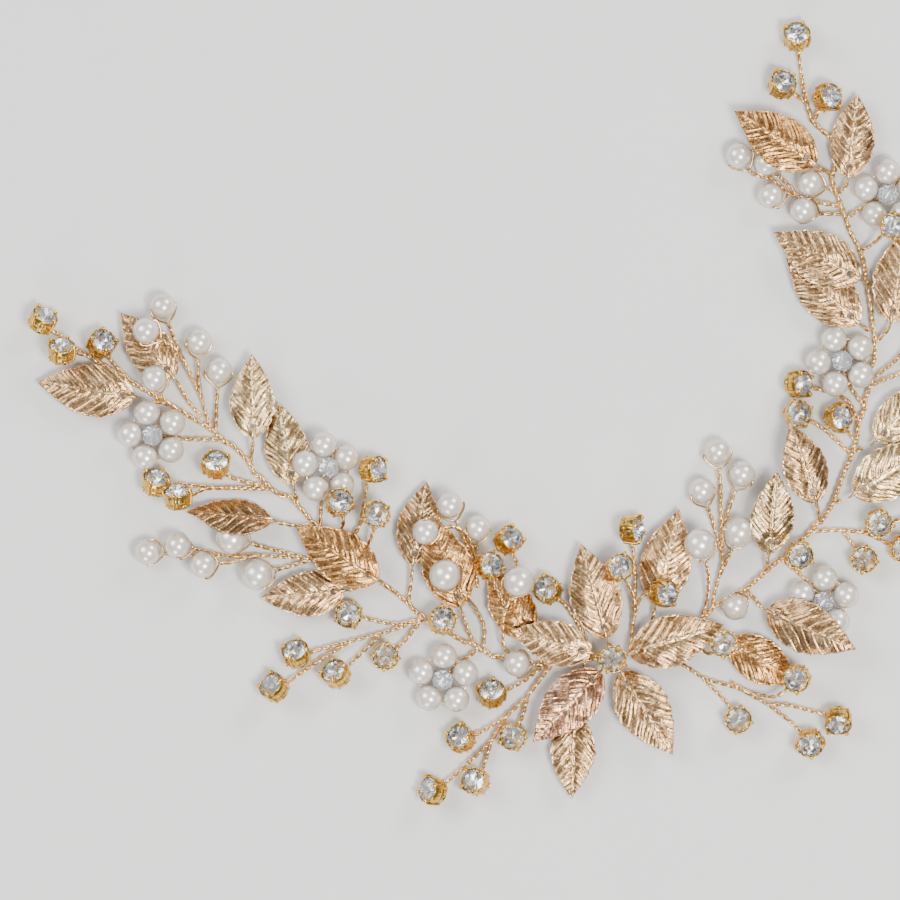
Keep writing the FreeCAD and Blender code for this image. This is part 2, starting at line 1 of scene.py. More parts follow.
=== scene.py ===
"""Looks of a bridal hair vine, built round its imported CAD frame.  Metres, +Z up.

Every place comes from the frame: each CAD solid is read back as a leaf, wire, cup, stone,
pearl or bead, and a detailed mesh is put where it is.
"""

import json
import math
import random

import bpy
import numpy as np
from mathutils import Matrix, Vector

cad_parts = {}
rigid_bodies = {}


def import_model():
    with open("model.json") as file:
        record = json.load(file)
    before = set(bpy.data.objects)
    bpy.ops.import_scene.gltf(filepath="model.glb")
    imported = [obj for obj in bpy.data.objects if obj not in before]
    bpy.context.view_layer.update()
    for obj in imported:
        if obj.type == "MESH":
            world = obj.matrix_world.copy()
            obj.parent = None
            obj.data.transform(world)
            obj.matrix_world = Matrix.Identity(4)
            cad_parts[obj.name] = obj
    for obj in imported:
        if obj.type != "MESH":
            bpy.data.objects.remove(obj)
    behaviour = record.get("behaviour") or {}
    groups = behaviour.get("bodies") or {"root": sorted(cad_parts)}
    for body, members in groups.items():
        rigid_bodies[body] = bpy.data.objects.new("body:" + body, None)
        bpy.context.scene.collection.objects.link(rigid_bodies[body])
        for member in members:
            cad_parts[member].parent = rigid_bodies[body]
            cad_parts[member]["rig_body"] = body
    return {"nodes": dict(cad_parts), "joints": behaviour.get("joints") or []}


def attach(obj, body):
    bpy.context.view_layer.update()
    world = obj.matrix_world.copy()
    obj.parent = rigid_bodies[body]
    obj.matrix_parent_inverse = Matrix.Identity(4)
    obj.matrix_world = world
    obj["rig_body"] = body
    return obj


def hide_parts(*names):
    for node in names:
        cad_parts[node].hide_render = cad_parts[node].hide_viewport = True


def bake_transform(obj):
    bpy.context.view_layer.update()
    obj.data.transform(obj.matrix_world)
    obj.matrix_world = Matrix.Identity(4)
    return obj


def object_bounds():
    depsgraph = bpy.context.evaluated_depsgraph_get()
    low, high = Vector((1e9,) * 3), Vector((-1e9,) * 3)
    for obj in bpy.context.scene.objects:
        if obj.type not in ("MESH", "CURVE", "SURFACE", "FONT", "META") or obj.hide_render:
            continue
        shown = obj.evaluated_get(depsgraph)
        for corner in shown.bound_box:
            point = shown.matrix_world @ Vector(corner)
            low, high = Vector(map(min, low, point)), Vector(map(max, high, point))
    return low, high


MM = 0.001

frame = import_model()
CAD_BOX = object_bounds()

# ---- sizes, in millimetres ------------------------------------------------------------

LEAF_ARCH = 45.0            # radius of a leaf's bow, as in the CAD
LEAF_TAIL = 2.0             # base edge to the middle of the hole
LEAF_HINGE = 1.0            # tilt hinge behind the hole
LEAF_HOLE = 0.6
LEAF_SHEET = 0.34
LEAF_ROWS = 124             # grid cells from base to tip
LEAF_COLUMNS = 64           # grid cells from edge to edge
LEAF_LOBES = 7.5            # scallops on each side of the margin
VEIN_SPACING = 2.25
VEIN_SLANT = 0.85
VEIN_CURVE = 0.05

TWIST_PITCH = 3.4           # one full turn of a two-strand wire
TURN_STEPS = 12             # rings of vertices in that turn
STRAND_SIDES = 8
SINGLE_WIRE = 0.35          # radius up to which a wire is one strand
WIDEST_WIRE = 1.0           # radius
SINGLE_STEP = 0.3           # between rings of a single strand
LOOP_STEPS = 72             # rings round a closed wire loop
BEND_OVERLAP = 0.4          # of a bend piece over each stem it joins

STONE_TOP = 3.95            # table of the stone over the cup's back
CUP_MIDDLE = 1.6            # height of a cup's centre over its back
CLAW_TIPS = 3.45            # height over which a cup has only claws
PEARL_BORE = 0.38
PEARL_SIDES = 40
PEARL_RINGS = 26
BORE_BEVEL = 0.12
RONDELLE_RADIUS = 2.02
RONDELLE_SIDES = 10

TAU = 2 * math.pi


# ---- reading the CAD solids -------------------------------------------------------------

def solids_of(node):
    """The node's separate solids as (vertices in mm, triangles), welded by place."""
    mesh = frame["nodes"][node].data
    mesh.calc_loop_triangles()
    points = np.zeros(len(mesh.vertices) * 3)
    mesh.vertices.foreach_get("co", points)
    corners = np.zeros(len(mesh.loop_triangles) * 3, np.int64)
    mesh.loop_triangles.foreach_get("vertices", corners)
    keys = np.round(points.reshape(-1, 3) / MM, 4)
    places, welded = np.unique(keys, axis=0, return_inverse=True)
    triangles = welded.ravel()[corners].reshape(-1, 3)
    label = np.arange(len(places))
    while True:
        lowest = label[triangles].min(axis=1)
        new = label.copy()
        np.minimum.at(new, triangles.ravel(), np.repeat(lowest, 3))
        new = new[new]
        if (new == label).all():
            break
        label = new
    found = []
    for root in np.unique(label[triangles[:, 0]]):
        own = triangles[label[triangles[:, 0]] == root]
        used, renumbered = np.unique(own, return_inverse=True)
        found.append((places[used], renumbered.reshape(-1, 3)))
    return found


def flat_faces(points, triangles):
    """Groups of joined coplanar triangles, largest first: [triangle numbers]."""
    a, b, c = (points[triangles[:, k]] for k in range(3))
    normals = np.cross(b - a, c - a)
    lengths = np.linalg.norm(normals, axis=1)
    normals = normals / np.maximum(lengths, 1e-12)[:, None]
    sides = {}
    for number, (p, q, r) in enumerate(triangles):
        for side in ((p, q), (q, r), (r, p)):
            sides.setdefault((min(side), max(side)), []).append(number)
    group = list(range(len(triangles)))

    def top(k):
        while group[k] != k:
            group[k] = group[group[k]]
            k = group[k]
        return k

    for pair in sides.values():
        if len(pair) == 2 and normals[pair[0]] @ normals[pair[1]] > 0.99999:
            group[top(pair[0])] = top(pair[1])
    members = {}
    for number in range(len(triangles)):
        members.setdefault(top(number), []).append(number)
    return sorted(members.values(), key=len, reverse=True)


def unit(vector):
    return vector / np.linalg.norm(vector)


def main_axis(points):
    """Direction in which the points spread most."""
    spread = points - points.mean(axis=0)
    return np.linalg.svd(spread, full_matrices=False)[2][0]


def thin_axis(points):
    """Direction in which the points spread least."""
    spread = points - points.mean(axis=0)
    return np.linalg.svd(spread, full_matrices=False)[2][2]


def circle_centre(points):
    """Centre of the circle that the points lie on."""
    middle = points.mean(axis=0)
    local = points - middle
    terms = np.column_stack([2 * local, np.ones(len(local))])
    answer = np.linalg.lstsq(terms, (local ** 2).sum(axis=1), rcond=1e-6)[0]
    shift = answer[:3]
    if np.linalg.norm(shift) > 0.5 * np.linalg.norm(local, axis=1).max():
        return middle
    return middle + shift


def end_caps(points, triangles):
    """Flat round ends of a wire: [vertex numbers]."""
    caps = []
    for group in flat_faces(points, triangles):
        if len(group) < 6:
            break
        rim = np.unique(triangles[group])
        centre = circle_centre(points[rim])
        reach = np.linalg.norm(points[rim] - centre, axis=1)
        if reach.std() < 0.03 * reach.mean() < 0.03 * WIDEST_WIRE:
            caps.append(rim)
    return caps


def centre_line(points, triangles, cap):
    """Ring centres of a wire from one end cap to the other."""
    sides = np.vstack([triangles[:, [0, 1]], triangles[:, [1, 2]], triangles[:, [2, 0]]])
    level = np.full(len(points), -1)
    level[cap] = 0
    line = [circle_centre(points[cap])]
    step = 0
    while True:
        near = level[sides] == step
        fresh = level[sides] == -1
        reached = np.concatenate([sides[near[:, 0] & fresh[:, 1], 1], sides[near[:, 1] & fresh[:, 0], 0]])
        if not len(reached):
            return np.array(line)
        step += 1
        level[reached] = step
        line.append(circle_centre(points[level == step]))


# ---- mesh building ------------------------------------------------------------------------

class Piece:
    """Vertices and faces of one Blender object, collected in millimetres."""

    def __init__(self, *materials):
        self.materials = materials
        self.points = []
        self.faces = []
        self.face_slots = []
        self.face_smooth = []
        self.painted_light = []
        self.tone = []
        self.count = 0

    def add(self, points, faces, slot=0, smooth=True, painted_light=1.0, tone=0.5):
        """Adds a part.  Its painted light is 0 where shade is painted into grooves and 1 on ridges, tone
        picks a shade.
        """
        self.points.append(points)
        self.faces += [tuple(int(k) + self.count for k in face) for face in faces]
        slots = slot if hasattr(slot, "__len__") else [slot] * len(faces)
        self.face_slots += list(slots)
        self.face_smooth += [smooth] * len(faces)
        self.painted_light.append(np.broadcast_to(painted_light, len(points)))
        self.tone.append(np.broadcast_to(tone, len(points)))
        self.count += len(points)

    def build(self, name):
        """The object, not yet on a body."""
        mesh = bpy.data.meshes.new(name)
        mesh.from_pydata((np.vstack(self.points) * MM).tolist(), [], self.faces)
        mesh.polygons.foreach_set("material_index", self.face_slots)
        mesh.polygons.foreach_set("use_smooth", self.face_smooth)
        for label, values in (("painted_light", self.painted_light), ("tone", self.tone)):
            attribute = mesh.attributes.new(label, "FLOAT", "POINT")
            attribute.data.foreach_set("value", np.concatenate(values).astype(np.float32))
        for material in self.materials:
            mesh.materials.append(material)
        mesh.update()
        made = bpy.data.objects.new(name, mesh)
        bpy.context.scene.collection.objects.link(made)
        return made

    def make(self, node):
        """The object, riding on its CAD node's body in its place."""
        made = self.build(node + "_look")
        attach(made, frame["nodes"][node]["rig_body"])
        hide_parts(node)
        return made


def placed(points, origin, axes):
    """Local points put where the axes (rows x, y, z) and origin say."""
    return origin + points @ axes


def ring_faces(rings, sides, closed=False):
    """Quads between consecutive rings of vertices."""
    faces = []
    for ring in range(rings if closed else rings - 1):
        for k in range(sides):
            here = ring * sides
            there = (ring + 1) % rings * sides
            faces.append((here + k, here + (k + 1) % sides, there + (k + 1) % sides, there + k))
    return faces


def spun(profile, sides, shape=None):
    """Surface of revolution about z.  shape(angle, r, z) may bend each point's r and z."""
    angles = np.arange(sides) * TAU / sides
    points = []
    for radius, height in profile:
        r = np.full(sides, float(radius))
        z = np.full(sides, float(height))
        if shape is not None:
            r, z = shape(angles, r, z)
        points.append(np.column_stack([r * np.cos(angles), r * np.sin(angles), z]))
    return np.vstack(points), ring_faces(len(profile), sides)


def spaced(line, step):
    """The line resampled at about this step, with its corners eased."""
    gaps = np.linalg.norm(np.diff(line, axis=0), axis=1)
    keep = np.concatenate([[True], gaps > 1e-4])
    line = line[keep]
    along = np.concatenate([[0], np.cumsum(np.linalg.norm(np.diff(line, axis=0), axis=1))])
    count = max(3, int(math.ceil(along[-1] / step)) + 1)
    places = np.linspace(0, along[-1], count)
    fine = np.column_stack([np.interp(places, along, line[:, k]) for k in range(3)])
    for _ in range(3):
        fine[1:-1] = (fine[:-2] + 2 * fine[1:-1] + fine[2:]) / 4
    return fine


def line_frames(line):
    """Two unit directions across the line at each of its points, without twist."""
    tangents = np.gradient(line, axis=0)
    tangents /= np.linalg.norm(tangents, axis=1)[:, None]
    across = np.cross(tangents[0], (0.3, 0.1, 1.0))
    firsts = []
    for tangent in tangents:
        across = unit(across - tangent * (across @ tangent))
        firsts.append(across)
    firsts = np.array(firsts)
    return firsts, np.cross(tangents, firsts)


def strand(line, radius, sides=STRAND_SIDES, closed=False):
    """Round wire along the line: points and faces, ends closed unless it is a ring."""
    firsts, seconds = line_frames(line)
    radii = np.broadcast_to(radius, len(line))
    points = []
    for k in range(sides):
        angle = TAU * k / sides
        out = math.cos(angle) * firsts + math.sin(angle) * seconds
        points.append(line + out * radii[:, None])
    points = np.stack(points, axis=1).reshape(-1, 3)
    faces = ring_faces(len(line), sides, closed)
    if not closed:
        last = (len(line) - 1) * sides
        faces.append(tuple(range(sides))[::-1])
        faces.append(tuple(range(last, last + sides)))
    return points, faces


def twisted(line, radius, start):
    """The two strands of a twisted wire along the line."""
    line = spaced(line, TWIST_PITCH / TURN_STEPS)
    firsts, seconds = line_frames(line)
    along = np.concatenate([[0], np.cumsum(np.linalg.norm(np.diff(line, axis=0), axis=1))])
    strands = []
    for half in range(2):
        angle = start + along / TWIST_PITCH * TAU + half * math.pi
        out = np.cos(angle)[:, None] * firsts + np.sin(angle)[:, None] * seconds
        strands.append(strand(line + out * radius * 0.48, radius * 0.52))
    return strands


# ---- smooth noise for shapes ----------------------------------------------------------------

NOISE_CELLS = 64            # the noise repeats after this many units


def ripple(x, y, seed):
    """Smooth noise between -1 and 1 with features about one unit across."""
    table = np.random.default_rng(seed).random((NOISE_CELLS, NOISE_CELLS)) * 2 - 1
    column = np.floor(x).astype(int)
    row = np.floor(y).astype(int)
    u = x - column
    v = y - row
    u = u * u * (3 - 2 * u)
    v = v * v * (3 - 2 * v)
    here, right = column % NOISE_CELLS, (column + 1) % NOISE_CELLS
    low, high = row % NOISE_CELLS, (row + 1) % NOISE_CELLS
    a = table[low, here]
    b = table[low, right]
    c = table[high, here]
    d = table[high, right]
    return (a * (1 - u) + b * u) * (1 - v) + (c * (1 - u) + d * u) * v


def crackle(x, y, seed):
    """Distance from the nearest cell border, in cells about one unit across."""
    shifts = np.random.default_rng(seed).random((NOISE_CELLS, NOISE_CELLS, 2))
    column = np.floor(x).astype(int)
    row = np.floor(y).astype(int)
    nearest = np.full(x.shape, 9.0)
    second = np.full(x.shape, 9.0)
    for down in (-1, 0, 1):
        for right in (-1, 0, 1):
            jitter = shifts[(row + down) % NOISE_CELLS, (column + right) % NOISE_CELLS]
            distance = np.hypot(column + right + jitter[..., 0] - x, row + down + jitter[..., 1] - y)
            second = np.minimum(second, np.maximum(nearest, distance))
            nearest = np.minimum(nearest, distance)
    return second - nearest


# ---- leaves -----------------------------------------------------------------------------------

def leaf_place(joint, node):
    """Length, origin and axes (rows x, y, z) of a leaf, from its hinge and its tip."""
    corners = np.array([v.co for v in frame["nodes"][node].data.vertices]) / MM
    anchor = np.array(joint["pos_m"]) / MM
    across = -unit(np.array(joint["axis"]))
    reach = np.linalg.norm(corners - anchor, axis=1)
    tip = corners[reach > reach.max() - 0.25].mean(axis=0)
    toward = tip - anchor
    toward = toward - across * (toward @ across)
    length = np.linalg.norm(toward) + LEAF_HINGE
    for _ in range(4):
        sag = LEAF_ARCH - math.sqrt(LEAF_ARCH ** 2 - (length - LEAF_TAIL) ** 2)
        length = math.sqrt(toward @ toward - sag ** 2) + LEAF_TAIL - LEAF_HINGE
    lean = math.atan2(sag, length - LEAF_TAIL + LEAF_HINGE)
    along = unit(toward)
    forward = math.cos(lean) * along + math.sin(lean) * np.cross(along, across)
    axes = np.array([forward, across, np.cross(forward, across)])
    return length, anchor + LEAF_HINGE * forward, axes


def leaf_half_width(share, length, seed):
    """Half width at a share of the way from base to tip, with a scalloped margin."""
    plain = 1.0 * share ** 0.8 * (1 - share) ** 1.14 + 0.05 * (1 - share) ** 8
    lobes = np.abs(np.sin(math.pi * LEAF_LOBES * share ** 0.92)) ** 0.75
    uneven = ripple(share * 9, np.zeros_like(share), seed)
    return length * plain * (0.955 + 0.075 * lobes + 0.03 * uneven)


def leaf_relief(x, y, edge, length, seed):
    """Height of the stamped veins and grain, and how lit each point is painted (0 to 1): painted shade in
    grooves, cell hollows and low lumps, lighter on the midrib, veins and margin rim.
    """
    wander = 0.45 * ripple(x / 2.4, y / 2.4, seed + 1)
    middle = np.exp(-(y / 0.24) ** 2) * (1 - 0.5 * (x / length) ** 2)
    flow = x - VEIN_SLANT * np.abs(y) - VEIN_CURVE * y ** 2 + 0.35 * np.sign(y) + wander
    phase = flow / VEIN_SPACING
    off = np.abs(phase - np.round(phase)) * VEIN_SPACING * 0.8
    strength = 0.8 + 0.2 * ripple(x / 1.7, y / 1.7, seed + 6)
    veins = np.exp(-(off / 0.16) ** 2) * np.clip(np.abs(y) / 0.4, 0, 1) * strength
    between = np.cos(math.pi * (phase - np.round(phase))) ** 2
    cells = np.clip(crackle(x / 1.15, y / 0.95, seed + 2) / 0.2, 0, 1)
    lumps = ripple(x / 1.1, y / 1.1, seed + 7)
    rim = np.clip((edge - 0.93) / 0.05, 0, 1)
    height = (0.30 * middle + 0.27 * veins - 0.10 * between - 0.025 * cells
              + 0.06 * lumps + 0.12 * rim)
    # painted shade: low spots are painted darker, and the midrib, veins, lumps and margin rim lighter,
    # following the height
    ridge_light = 0.52 + 0.6 * np.maximum(middle, veins) - 0.20 * cells + 0.16 * lumps + 0.35 * rim
    return height, np.clip(ridge_light, 0, 1)


def leaf_mesh(length, seed):
    """Stamped leaf in its own frame: points, faces and painted light, with shade painted into the grooves
    and the whole underside painted darker.
    """
    rng = random.Random(seed)
    droop = rng.uniform(0.4, 0.9)
    crease = rng.uniform(0.25, 0.5)
    ruffle = rng.uniform(0.2, 0.4)
    curl = rng.uniform(-0.3, 0.9)
    rows, columns = LEAF_ROWS + 1, LEAF_COLUMNS + 1
    share, side = np.meshgrid(np.linspace(0.0, 0.999, rows), np.linspace(-1, 1, columns), indexing="ij")
    x = length * share - LEAF_TAIL
    y = side * leaf_half_width(share, length, seed)
    far = np.hypot(x, y)
    spread = 1.5
    moved = LEAF_HOLE + (spread - LEAF_HOLE) * far / spread
    scale = np.where(far < spread, moved / np.maximum(far, 1e-6), 1.0)
    inside = far < 0.42 * LEAF_HOLE
    x = x * scale
    y = y * scale
    edge = np.abs(side)
    bow = np.sqrt(LEAF_ARCH ** 2 - x ** 2) - LEAF_ARCH
    wide = np.abs(y) / (0.28 * length)
    form = crease * (1 - np.exp(-np.abs(y) / 0.9)) - (droop + crease) * wide ** 2
    form += ruffle * ripple(share * 6, side * 0.8, seed + 3) * edge ** 2
    form += 0.2 * ripple(x / 3.0, y / 3.0, seed + 4)
    form += curl * np.clip((share - 0.72) / 0.28, 0, 1) ** 2
    near_hole = np.clip((np.hypot(x, y) - 0.75) / 1.6, 0, 1)
    near_base = near_hole * np.clip((share - 0.02) / 0.12, 0, 1)
    height, ridge_light = leaf_relief(x, y, edge, length, seed)
    middle = bow + form * near_base
    collar = 0.10 * np.exp(-((np.hypot(x, y) - 0.8) / 0.16) ** 2)
    top = middle + height * (0.25 + 0.75 * near_hole) + collar + LEAF_SHEET / 2
    bottom = top - LEAF_SHEET
    number = np.arange(rows * columns).reshape(rows, columns)
    keep = ~(inside[:-1, :-1] | inside[1:, :-1] | inside[:-1, 1:] | inside[1:, 1:])
    quads = np.stack([number[:-1, :-1], number[1:, :-1], number[1:, 1:], number[:-1, 1:]], axis=-1)[keep]
    shift = rows * columns
    directed = np.vstack([quads[:, [k, (k + 1) % 4]] for k in range(4)])
    codes = directed[:, 0] * shift + directed[:, 1]
    back = directed[:, 1] * shift + directed[:, 0]
    rim = directed[~np.isin(codes, back)]
    walls = np.column_stack([rim[:, 1], rim[:, 0], rim[:, 0] + shift, rim[:, 1] + shift])
    faces = np.vstack([quads, quads[:, ::-1] + shift, walls])
    hole_edge = np.unique(rim)
    flat_far = np.hypot(x, y).ravel()
    hole_edge = hole_edge[flat_far[hole_edge] < 1.2]
    snap = np.ones(shift)
    snap[hole_edge] = LEAF_HOLE / flat_far[hole_edge]
    x = x.ravel() * snap
    y = y.ravel() * snap
    points = np.column_stack([np.tile(x, 2), np.tile(y, 2), np.concatenate([top.ravel(), bottom.ravel()])])
    used, renumbered = np.unique(faces, return_inverse=True)
    # painted shade: the underside gets half the top's light value, so it is painted darker
    painted_light = np.concatenate([ridge_light.ravel(), 0.5 * ridge_light.ravel()])
    return points[used], renumbered.reshape(-1, 4), painted_light[used]


# ---- stones, cups, pearls and beads in their own frames ----------------------------------------

def ring_of(count, radius, height, turn=0.0):
    """Points evenly round a circle."""
    angles = turn + np.arange(count) * TAU / count
    return np.column_stack([radius * np.cos(angles), radius * np.sin(angles), np.full(count, height)])


def brilliant():
    """Round brilliant: points, crown faces and pavilion faces."""
    girdle, table, top, low, high, point = 2.3, 1.35, STONE_TOP, 3.0, 3.2, 1.6
    step = TAU / 16
    crown_slope = (top - high) / (girdle - table)
    waist = 1.9
    waist_height = top - (waist * math.cos(step) - table) * crown_slope
    pavilion_slope = (low - point) / girdle
    belly = 1.05
    belly_height = point + belly * math.cos(step) * pavilion_slope
    points = np.vstack([
        ring_of(8, table, top), ring_of(8, waist, waist_height, step), ring_of(16, girdle, high),
        ring_of(16, girdle, low), ring_of(8, belly, belly_height, step), [[0, 0, point]]])
    table_at, waist_at, high_at, low_at, belly_at, culet = 0, 8, 16, 32, 48, 56
    crown = [tuple(range(8))]
    pavilion = []
    for k in range(8):
        after = (k + 1) % 8
        middle, left, right = 2 * k, (2 * k + 1) % 16, (2 * k - 1) % 16
        crown.append((table_at + k, waist_at + k, table_at + after))
        crown.append((table_at + k, waist_at + (k - 1) % 8, high_at + middle, waist_at + k))
        crown.append((waist_at + k, high_at + middle, high_at + left))
        crown.append((waist_at + (k - 1) % 8, high_at + right, high_at + middle))
        pavilion.append((culet, belly_at + k, low_at + middle, belly_at + (k - 1) % 8))
        pavilion.append((belly_at + k, low_at + left, low_at + middle))
        pavilion.append((belly_at + (k - 1) % 8, low_at + middle, low_at + right))
    for k in range(16):
        crown.append((high_at + k, low_at + k, low_at + (k + 1) % 16, high_at + (k + 1) % 16))
    return points, crown, pavilion


def rondelle():
    """Faceted bead drilled along z: points and faces."""
    count = RONDELLE_SIDES
    half = TAU / count / 2
    rings = [ring_of(count, 0.42, -1.72), ring_of(count, 0.95, -1.78, half), ring_of(count, 1.66, -1.08),
             ring_of(count, RONDELLE_RADIUS, 0.0, half), ring_of(count, 1.66, 1.08),
             ring_of(count, 0.95, 1.78, half), ring_of(count, 0.42, 1.72)]
    faces = []
    for ring in range(len(rings) - 1):
        here, there = ring * count, (ring + 1) * count
        lead = ring % 2
        for k in range(count):
            after = (k + 1) % count
            if lead:
                faces.append((here + k, there + after, there + k))
                faces.append((here + k, here + after, there + after))
            else:
                faces.append((here + k, here + after, there + k))
                faces.append((here + after, there + after, there + k))
    last = (len(rings) - 1) * count
    faces += [(last + k, last + (k + 1) % count, (k + 1) % count, k) for k in range(count)]
    return np.vstack(rings), faces


def drilled_ball(radius):
    """Pearl with a bore along z and eased bore rims: points and faces."""
    lip = PEARL_BORE + 0.14
    first = math.asin(lip / radius)
    profile = []
    for angle in np.linspace(first, math.pi - first, PEARL_RINGS):
        profile.append((radius * math.sin(angle), radius * math.cos(angle)))
    end = radius * math.cos(first)
    bottom = [(PEARL_BORE + 0.05, -end), (PEARL_BORE, -end + BORE_BEVEL)]
    top = [(PEARL_BORE, end - BORE_BEVEL), (PEARL_BORE + 0.05, end)]
    profile = profile + bottom + top
    points, faces = spun(profile, PEARL_SIDES)
    last = (len(profile) - 1) * PEARL_SIDES
    for k in range(PEARL_SIDES):
        after = (k + 1) % PEARL_SIDES
        faces.append((last + k, last + after, after, k))
    return points, faces


CUP_PROFILE = [
    (0.0, 0.0), (1.4, 0.0), (2.05, 0.03), (2.25, 0.14), (2.32, 0.34), (2.36, 0.6), (2.42, 0.86),
    (2.50, 1.06), (2.46, 1.2), (2.44, 1.34), (2.50, 1.48), (2.58, 1.66), (2.62, 1.9), (2.65, 2.14),
    (2.68, 2.36), (2.70, 2.52), (2.66, 2.68), (2.63, 2.86), (2.63, 3.04), (2.62, 3.18), (2.57, 3.25),
    (2.47, 3.25), (2.41, 3.18), (2.40, 2.98), (1.7, 2.32), (0.9, 1.62), (0.0, 1.6)]
CUP_SIDES = 96
CUP_RIBS = 20


def cup_shape(angles, r, z):
    """Ribs in two tiers, a scalloped rim and hollows over the four wire channels."""
    wall = np.clip((z - 0.3) / 0.25, 0, 1) * np.clip((3.2 - z) / 0.3, 0, 1)
    outside = r > 2.2
    upper = np.exp(-((z - 2.05) / 0.55) ** 2)
    lower = np.exp(-((z - 0.75) / 0.3) ** 2)
    rib = np.abs(np.cos(CUP_RIBS / 2 * angles)) ** 0.8
    r = r + np.where(outside, wall * (upper * 0.17 + lower * 0.10) * (rib - 0.75), 0)
    channel = np.clip((np.abs(np.cos(2 * angles)) - 0.93) / 0.05, 0, 1)
    mouth = channel * np.clip((1.02 - z) / 0.2, 0, 1) * np.clip((z - 0.2) / 0.12, 0, 1)
    r = r - np.where(outside, mouth * 0.55, 0)
    rim = np.clip((z - 3.2) / 0.1, 0, 1) * np.clip((r - 2.3) / 0.1, 0, 1)
    z = z - rim * 0.22 * (1 - np.abs(np.cos(8 * angles)) ** 0.7)
    return r, z


def claw_parts():
    """Four claws bent over the stone, and four wire eyes over the channel mouths."""
    parts = []
    path = np.array([(2.46, 0, 0.35), (2.62, 0, 1.2), (2.78, 0, 2.2), (2.86, 0, 3.0), (2.74, 0, 3.5),
                     (2.42, 0, 3.78), (2.06, 0, 3.9)])
    line = spaced(path, 0.22)
    share = np.linspace(0, 1, len(line))
    swell = 0.10 * np.clip((share - 0.7) / 0.2, 0, 1)
    radii = 0.27 + swell - 0.16 * np.clip((share - 0.93) / 0.07, 0, 1) ** 2
    claw, claw_faces = strand(line, radii, 10)
    angles = np.linspace(-0.1, math.pi + 0.1, 12)
    eye_line = np.column_stack([np.full(12, 2.5), 0.52 * np.cos(angles), 0.42 + 0.55 * np.sin(angles)])
    eye, eye_faces = strand(eye_line, 0.13, 7)
    for k in range(4):
        turn = k * TAU / 4
        parts.append((turned(claw, turn + TAU / 8), claw_faces))
        parts.append((turned(eye, turn), eye_faces))
    return parts


def turned(points, angle):
    """The points turned about z."""
    c, s = math.cos(angle), math.sin(angle)
    x, y, z = points.T
    return np.column_stack([c * x - s * y, s * x + c * y, z])


# ---- where each stone, cup, pearl and bead is -----------------------------------------------------

def cup_places(cups_node, stones_node):
    """Origin and axes of every cup, from its stone's table and its claws."""
    cups = solids_of(cups_node)
    centres = np.array([points.mean(axis=0) for points, _ in cups])
    places = []
    for points, triangles in solids_of(stones_node):
        table = flat_faces(points, triangles)[0]
        a, b, c = (points[triangles[table[0], k]] for k in range(3))
        up = unit(np.cross(b - a, c - a))
        origin = circle_centre(points[np.unique(triangles[table])]) - STONE_TOP * up
        nearest = np.argmin(np.linalg.norm(centres - origin - CUP_MIDDLE * up, axis=1))
        local = cups[nearest][0] - origin
        claws = local[local @ up > CLAW_TIPS]
        first = unit(np.cross(up, (0.21, 0.97, 0.1)))
        second = np.cross(up, first)
        angles = np.arctan2(claws @ second, claws @ first)
        claw = math.atan2(np.sin(4 * angles).mean(), np.cos(4 * angles).mean()) / 4
        toward = claw - TAU / 8
        along = math.cos(toward) * first + math.sin(toward) * second
        places.append((origin, np.array([along, np.cross(up, along), up])))
    return places


def bead_places(node):
    """Centre, radius and bore axes of every drilled bead of a node."""
    places = []
    for points, triangles in solids_of(node):
        centre = (points.min(axis=0) + points.max(axis=0)) / 2
        reach = np.linalg.norm(points - centre, axis=1).max()
        inner = np.linalg.norm(points[triangles].mean(axis=1) - centre, axis=1) < 0.8 * reach
        bore = main_axis(points[np.unique(triangles[inner])])
        across = unit(np.cross(bore, (0.3, 0.5, 0.81)))
        places.append((centre, reach, np.array([across, np.cross(bore, across), bore])))
    return places


# ---- materials ------------------------------------------------------------------------------------

